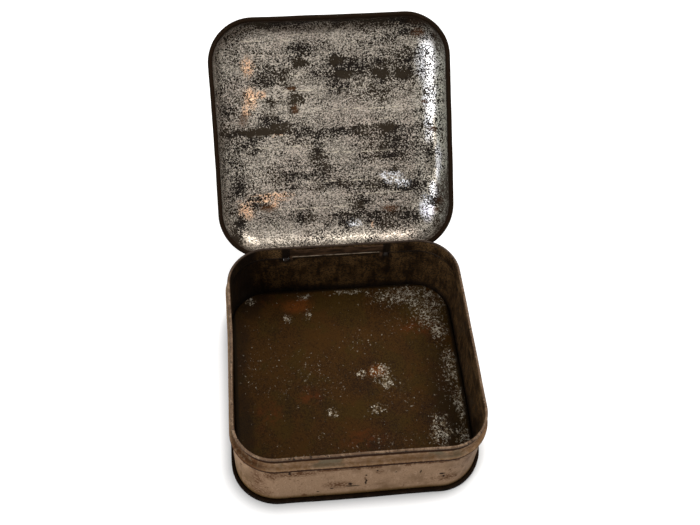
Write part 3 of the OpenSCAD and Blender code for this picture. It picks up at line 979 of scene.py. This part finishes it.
def buildWall():
    hemDrop = box["hemWidth"] - sheet
    hemRadius = hemDrop * roundShare
    hookRadius = 2 * seamStep * roundShare
    rimMid = box["rimHeight"] - sheet / 2
    hookLow = seamLow + sheet + bottom["seamGap"]
    upper = [(neckMid + hemRadius, rimMid - hemDrop), (neckMid + hemDrop, rimMid - hemDrop),
             (neckMid + hemDrop, rimMid), (neckMid, rimMid)]
    lower = [(wallMid, hookLow), (wallMid + 2 * seamStep, hookLow),
             (wallMid + 2 * seamStep, seamTop - 2 * sheet)]
    neckFoot = (neckMid, beadTop + box["beadRoom"])
    wallHead = (wallMid, beadLow - box["beadRoom"])
    top = densified(roundedPath(upper + [neckFoot], [hemRadius] * 3), fine["across"])
    foot = densified(roundedPath([wallHead] + lower, [hookRadius] * 2), fine["across"])
    bead = roundedPath(
        [neckFoot, (neckMid, beadTop), (beadMid + noseRadius, beadTop),
         (beadMid + noseRadius, beadLow), (wallMid, beadLow), wallHead],
        [sheet, noseRadius * 2 * roundShare] + [box["beadOut"] * roundShare] * 2)
    plain = roundedPath([neckFoot, (neckMid, beadTop), (wallMid, beadLow), wallHead],
                        [noseRadius, noseRadius])
    bead, plain = [resampled(line, fine["beadPoints"]) for line in (bead, plain)]
    verts = []
    for base, way in stations:
        beside = abs(base.x - hinge["middle"]) - (hinge["width"] + hinge["slotWidth"]) / 2
        fade = min(1.0, max(0.0, beside / box["beadFade"])) if way.y > 0.99 else 1.0
        middle = [a.lerp(b, fade) for a, b in zip(plain, bead)]
        outer, inner = sheetSides(top[:-1] + middle + foot[1:], sheet)
        verts += [swept((base, way), p.x, p.y, 0) for p in outer + inner[::-1]]
    length = len(outer) * 2
    hemLow = box["rimHeight"] - box["hemWidth"] - finishEnds["hemUnder"]
    hemPoints = sum(1 for p in top if p.y > hemLow)
    rest = len(outer) - hemPoints
    zones = ([2] * hemPoints + [0] * rest + [1] * rest + [2] * hemPoints) * len(stations)
    faces = ringFaces(len(stations), length, True)
    return makePiece("wallSheet", verts, faces, zones, [outside, wallStainShade, rimMetal],
                     "box", "body_wall")


def dishPiece(name, path, innerHalf, materials, zoneOf, body, node, opened=False):
    # a sheet with a flat middle: rings from the middle out along one side and back on the other
    rings = math.ceil(innerHalf / fine["across"])
    flat = path[0].y
    start = [Vector((innerHalf * i / rings, flat)) for i in range(1, rings)]
    full = start + path
    left, right = sheetSides(full, sheet)
    loop = left + right[::-1]
    verts = [swept(s, p.x, p.y, innerHalf) for s in stations for p in loop]
    faces = ringFaces(len(stations), len(loop), False)
    zones = [zoneOf(loop[j], j < len(left)) for j in range(len(loop) - 1)] * len(stations)
    for end, ahead in ((0, True), (len(loop) - 1, False)):
        middle = len(verts)
        verts.append(Vector((0, 0, loop[end].y)))
        for i in range(len(stations)):
            a, b = i * len(loop) + end, ((i + 1) % len(stations)) * len(loop) + end
            faces.append((middle, b, a) if ahead else (middle, a, b))
            zones.append(zoneOf(loop[end], ahead))
    return makePiece(name, verts, faces, zones, materials, body, node, opened)


def buildBottom():
    seamMid = wallMid - sheet - bottom["seamGap"]
    floorMid = bottom["floorHeight"] - sheet / 2
    edgeIn = seamMid - 2 * bottom["floorRadius"]
    path = roundedPath(
        [(edgeIn, floorMid), (seamMid, floorMid), (seamMid, seamLow), (footMid, seamLow),
         (footMid, seamTop), (footMid - 2 * seamStep, seamTop),
         (footMid - 2 * seamStep, seamLow + 3 * sheet)],
        [bottom["floorRadius"] - sheet / 2] + [sheet] * 4)

    def zoneOf(p, upper):
        if p.x < seamMid - finishEnds["floorIn"] and p.y > finishEnds["floorLow"]:
            return 0 if upper else 2
        return 2 if not upper and p.x < seamMid + finishEnds["underOut"] else 1

    return dishPiece("bottomSheet", path, edgeIn, [floorGrime, footRust, underMetal], zoneOf,
                     "box", "bottom_plate")


def buildLid():
    curl = (edgeMid - skirtMid) * roundShare
    rise = panelMid - cover["shoulderHeight"]
    steps = fine["shoulderSteps"]
    shoulder = [Vector((skirtMid - cover["shoulderWidth"] * (1 - math.cos(a)),
                        rise + cover["shoulderHeight"] * math.sin(a)))
                for a in [math.pi / 2 * i / steps for i in range(steps + 1)]]
    edge = roundedPath(
        [(skirtMid + curl, edgeLow + 2 * curl), (edgeMid, edgeLow + 2 * curl),
         (edgeMid, edgeLow), (skirtMid, edgeLow), shoulder[0]], [2 * curl * roundShare] * 3)
    path = (edge + shoulder[1:])[::-1]
    head = len(shoulder)
    path = path[:head] + densified(path[head - 1:head + 1], fine["across"])[1:] + path[head + 1:]

    def zoneOf(p, outer):
        if p.x > skirtMid + finishEnds["ringOut"] or p.y < edgeLow + finishEnds["ringRise"]:
            return 2
        return 1 if outer else 0

    return dishPiece("lidSheet", path, skirtMid - cover["shoulderWidth"],
                     [tinplate, lidOutside, lidRing], zoneOf, "lid", "lid",
                     True)


def cutAway(piece, cutters, opened=False):
    # boxes in millimetres, low and high corners, in the piece's own place with the lid closed
    for low, high in cutters:
        mesh = bpy.data.meshes.new("cutter")
        corners = [Vector((x, y, z)) * mm for x in (low[0], high[0]) for y in (low[1], high[1])
                   for z in (low[2], high[2])]
        if opened:
            corners = [swing @ c for c in corners]
        mesh.from_pydata(corners, [], [(0, 1, 3, 2), (4, 6, 7, 5), (0, 4, 5, 1),
                                       (2, 3, 7, 6), (0, 2, 6, 4), (1, 5, 7, 3)])
        cutter = added("cutter", mesh)
        cut = piece.modifiers.new("cut", "BOOLEAN")
        cut.operation = "DIFFERENCE"
        cut.object = cutter
        cut.solver = "EXACT"
        bpy.context.view_layer.update()
        evaluated = piece.evaluated_get(bpy.context.evaluated_depsgraph_get())
        result = bpy.data.meshes.new_from_object(evaluated)
        piece.modifiers.clear()
        old = piece.data
        piece.data = result
        result.name = piece.name
        bpy.data.meshes.remove(old)
        bpy.data.objects.remove(cutter)
        bpy.data.meshes.remove(mesh)


def buildTongue():
    # the back skirt's tongue: down past the notch and round the wire
    straight = [Vector((skirtMid, tongueTop)), Vector((skirtMid, wireHeight))]
    path = densified(straight, fine["tongue"])
    steps = fine["curlSteps"]
    for i in range(1, steps + 1):
        a = math.pi + math.radians(hinge["curlTurn"]) * i / steps
        curled = (wireDepth + curlMid * math.cos(a), wireHeight + curlMid * math.sin(a))
        path.append(Vector(curled))
    left, right = sheetSides(path, sheet)
    loop = left + right[::-1]
    count = math.ceil(2 * tongueHalf / fine["along"])
    verts, faces = [], []
    for i in range(count + 1):
        x = hinge["middle"] - tongueHalf + 2 * tongueHalf * i / count
        verts += [Vector((x, p.x, p.y)) for p in loop]
    for i in range(count):
        for j in range(len(loop)):
            k = (j + 1) % len(loop)
            a, b = i * len(loop), (i + 1) * len(loop)
            faces.append((a + j, a + k, b + k, b + j))
    faces += [tuple(range(len(loop)))[::-1],
              tuple(range(count * len(loop), (count + 1) * len(loop)))]
    return makePiece("lidTongue", verts, faces, [0] * len(faces), [lidOutside], "lid",
                     "lid", True)


print("box wall")
wallPiece = buildWall()
slotLow = box["rimHeight"] - hinge["slotDrop"] - hinge["slotLength"]
slotHigh = box["rimHeight"] - hinge["slotDrop"]
slots = []
for side in (-1, 1):
    x = hinge["middle"] + side * hinge["width"] / 2
    slots.append(((x - hinge["slotWidth"] / 2, neckMid - cutRoom["slotIn"], slotLow),
                  (x + hinge["slotWidth"] / 2, footMid + cutRoom["slotOut"], slotHigh)))
cutAway(wallPiece, slots)
markPlaces(wallPiece)

print("bottom")
markPlaces(buildBottom())

print("lid")
lidPiece = buildLid()
notchHalf = tongueHalf + hinge["notchRelief"]
room = cutRoom["notch"]
cutAway(lidPiece, [((hinge["middle"] - notchHalf, skirtMid - room, edgeLow - room),
                    (hinge["middle"] + notchHalf, edgeMid + room, tongueTop))], opened=True)
markPlaces(lidPiece, opened=True)
markPlaces(buildTongue(), opened=True)

print("hinge")
for nodeName, material in (("hinge_strap", strapMetal), ("hinge_wire", wireMetal)):
    part = frame["nodes"][nodeName]
    part.data.materials.clear()
    part.data.materials.append(material)

# the camera stands where the photograph was taken
view = {
    "azimuth": -8.51,
    "elevation": 54.15,
    "roll": 3.57,
    "place": (-35.7, -217.9, 405.3),
    "lens": 49.7,
    "film": 36.0,
    "nearest": 0.01,         # metres
}


def addCamera():
    data = bpy.data.cameras.new("photoCamera")
    data.sensor_width = view["film"]
    data.lens = view["lens"]
    data.clip_start = view["nearest"]
    camera = added("photoCamera", data)
    camera.matrix_world = (
        Matrix.Translation(Vector(view["place"]) * mm)
        @ Matrix.Rotation(math.radians(view["azimuth"]), 4, "Z")
        @ Matrix.Rotation(math.radians(90 - view["elevation"]), 4, "X")
        @ Matrix.Rotation(math.radians(view["roll"]), 4, "Z"))
    bpy.context.scene.camera = camera


# soft studio light and a white table
studio = {
    "fill": 0.60,            # world light on the object
    "backdrop": 1.0,         # what the camera and bare metal see
    "tableSize": 3.0,
    "tableColour": (0.60, 0.60, 0.60),
    "tableRough": 0.8,
    "tableGloss": 0.1,
    "tableGlow": 0.62,       # away from the tin; it fades out under it, so the shadow stays
    "glowUnder": 2.5,        # it starts this far inside the foot's edge, in millimetres
    "glowStart": 7.0,        # and is whole this far outside
    "lamps": [
        # name, place in metres, size, power, colour
        ("window", (-0.62, -0.42, 0.50), 0.50, 4.0, (1.0, 0.99, 0.98)),
        ("top", (0.38, 0.34, 0.92), 0.75, 8.5, (1.0, 0.98, 0.95)),
    ],
    "aim": (0.0, 0.05, 0.04),
}


def addWorld():
    world = bpy.data.worlds.new("studio")
    bpy.context.scene.world = world
    world.use_nodes = True
    workOn(world.node_tree)
    tree.nodes.clear()
    mix = newNode("MixShader")
    for socket, strength in ((1, studio["fill"]), (2, studio["backdrop"])):
        light = newNode("Background")
        feed(light, ("Color", (1, 1, 1)), ("Strength", strength))
        feed(mix, (socket, light.outputs[0]))
    rays = newNode("LightPath").outputs
    seen = rays["Is Camera Ray"]
    for kind in ("Is Glossy Ray", "Is Transmission Ray"):
        seen = most(seen, rays[kind])
    feed(mix, (0, seen))
    feed(newNode("OutputWorld"), ("Surface", mix.outputs[0]))


def addLamps():
    for name, spot, size, power, tint in studio["lamps"]:
        data = bpy.data.lights.new(name, "AREA")
        data.shape = "DISK"
        data.size = size
        data.energy = power
        data.color = tint
        lamp = added(name, data)
        lamp.location = spot
        aim = Vector(studio["aim"]) - Vector(spot)
        lamp.rotation_euler = aim.to_track_quat("-Z", "Y").to_euler()


def addTable():
    half = studio["tableSize"] / 2
    mesh = bpy.data.meshes.new("table")
    mesh.from_pydata([(-half, -half, 0), (half, -half, 0), (half, half, 0), (-half, half, 0)],
                     [], [(0, 1, 2, 3)])
    material = newMaterial("whiteTable")
    off = outFromCorners(newNode("NewGeometry").outputs["Position"])
    footEdge = box["cornerRadius"] + bottom["footOut"]
    glow = ramp(off, footEdge - studio["glowUnder"], footEdge + studio["glowStart"], 0,
                studio["tableGlow"])
    glow = times(newNode("LightPath").outputs["Is Camera Ray"], glow)
    feed(tree.nodes["Principled BSDF"], ("Base Color", studio["tableColour"]),
         ("Roughness", studio["tableRough"]), ("Specular IOR Level", studio["tableGloss"]),
         ("Emission Color", (1, 1, 1)),
         ("Emission Strength", glow))
    mesh.materials.append(material)
    table = added("table", mesh)


print("camera and studio")
addCamera()
addWorld()
addLamps()
addTable()
bpy.context.scene.view_settings.view_transform = "Standard"
